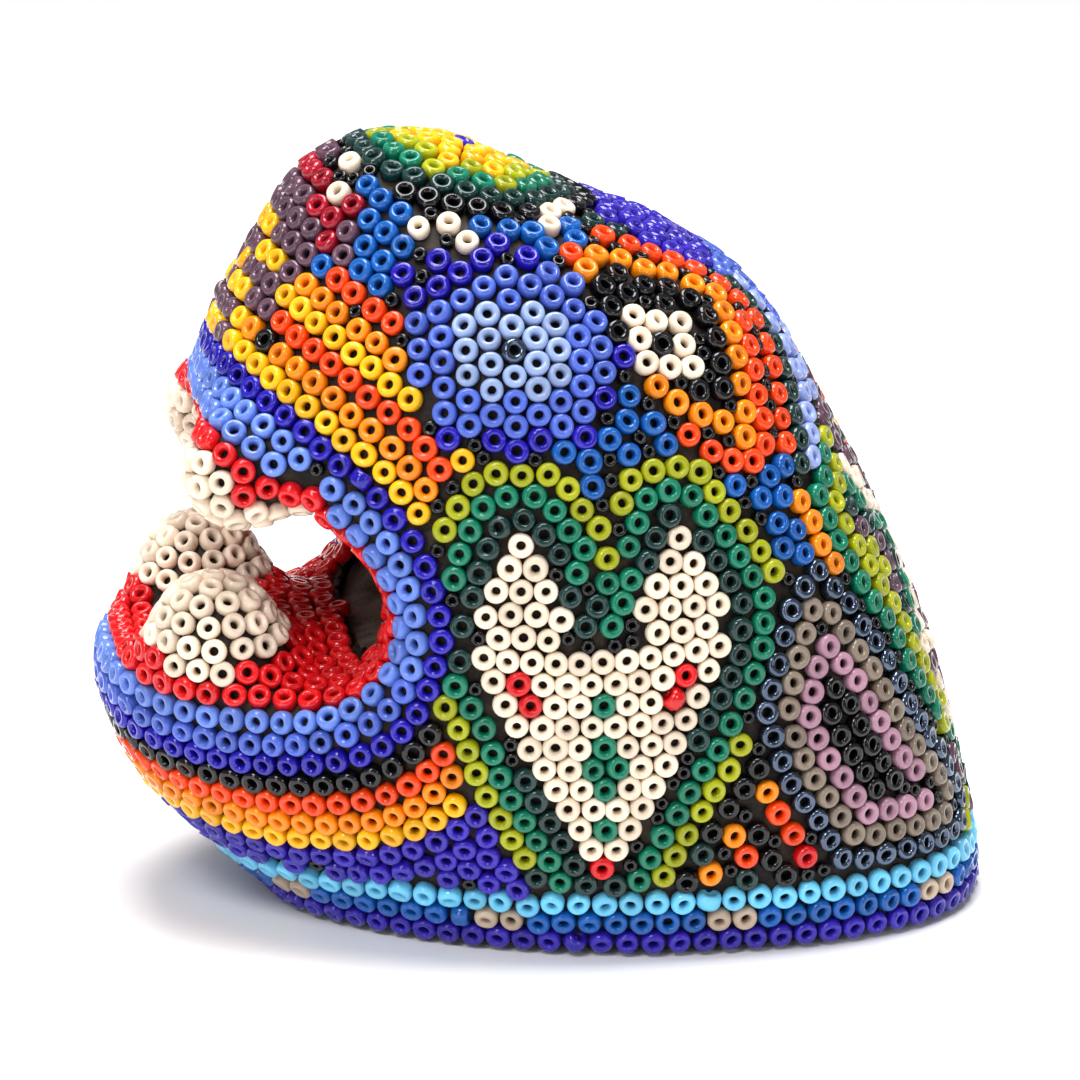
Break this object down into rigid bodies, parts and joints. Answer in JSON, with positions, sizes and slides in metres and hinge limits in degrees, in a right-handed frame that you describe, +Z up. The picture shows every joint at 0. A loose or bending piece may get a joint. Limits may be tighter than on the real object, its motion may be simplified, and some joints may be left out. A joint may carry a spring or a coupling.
{
  "type": "beaded big-cat head figure",
  "caption": "Small roaring big-cat head: a carved core in a wax coat, covered with fields of glass seed beads, resting on a flat base.",
  "frame": {"origin": "in the plane of the flat base and in the mirror plane, on the core's flat foot", "axes": "+Z up out of the base, -Y towards the snout, +X towards the head's left-hand cheek as it looks at a viewer; x = 0 is the mirror plane"},
  "size_m": [0.054, 0.0817, 0.0707],
  "materials": {
    "core": "bare, rough and mottled",
    "wax": "dark beeswax, soft sheen",
    "cream": "opaque glossy glass",
    "red": "opaque glossy glass",
    "crimson": "opaque glossy glass",
    "orange": "opaque glossy glass",
    "amber": "opaque glossy glass",
    "yellow": "opaque glossy glass",
    "lime": "opaque glossy glass",
    "green": "opaque glossy glass",
    "dark_green": "translucent glossy glass",
    "black": "opaque glossy glass",
    "gunmetal": "metallic-lined glossy glass",
    "royal": "opaque glossy glass",
    "sky": "opaque glossy glass",
    "lavender": "opaque glossy glass",
    "azure": "opaque glossy glass",
    "cyan": "opaque glossy glass",
    "violet": "opaque glossy glass",
    "mauve": "opaque glossy glass",
    "taupe": "opaque glossy glass",
    "beige": "opaque glossy glass",
    "pink": "opaque glossy glass"
  },
  "bodies": {
    "root": {"amber_corner_row_left": "amber", "amber_corner_row_right": "amber", "back_panel_beads": "green", "base_azure_ring": "azure", "base_cyan_ring": "cyan", "base_violet_ring": "violet", "brow_azure_beads_left": "azure", "brow_azure_beads_right": "azure", "carved_core": "core", "chevron_beads_left": "black", "chevron_beads_right": "black", "crown_beads": "violet", "ear_beads_left": "orange", "ear_beads_right": "orange", "eye_beads_left": "sky", "eye_beads_right": "sky", "forehead_flower_beads": "lime", "heart_face_beads_left": "cream", "heart_face_beads_right": "cream", "heart_rim_beads_left": "green", "heart_rim_beads_right": "green", "jaw_black_row": "black", "jaw_orange_rows": "orange", "jaw_yellow_rows": "yellow", "lip_red_ring": "red", "lip_royal_ring": "royal", "lip_sky_ring": "sky", "lower_canine_beads_left": "cream", "lower_canine_beads_right": "cream", "mouth_floor_beads": "red", "muzzle_band_beads_left": "amber", "muzzle_band_beads_right": "amber", "nape_lavender_beads": "lavender", "neck_triangle_centre_left": "pink", "neck_triangle_centre_right": "pink", "neck_triangle_rim_left": "gunmetal", "neck_triangle_rim_right": "gunmetal", "nose_bridge_beads": "crimson", "nose_pad_beads": "mauve", "palate_beads": "red", "temple_azure_beads_left": "azure", "temple_azure_beads_right": "azure", "throat_violet_beads": "violet", "upper_fang_beads_left": "cream", "upper_fang_beads_right": "cream", "wax_coat": "wax"}
  },
  "joints": []
}
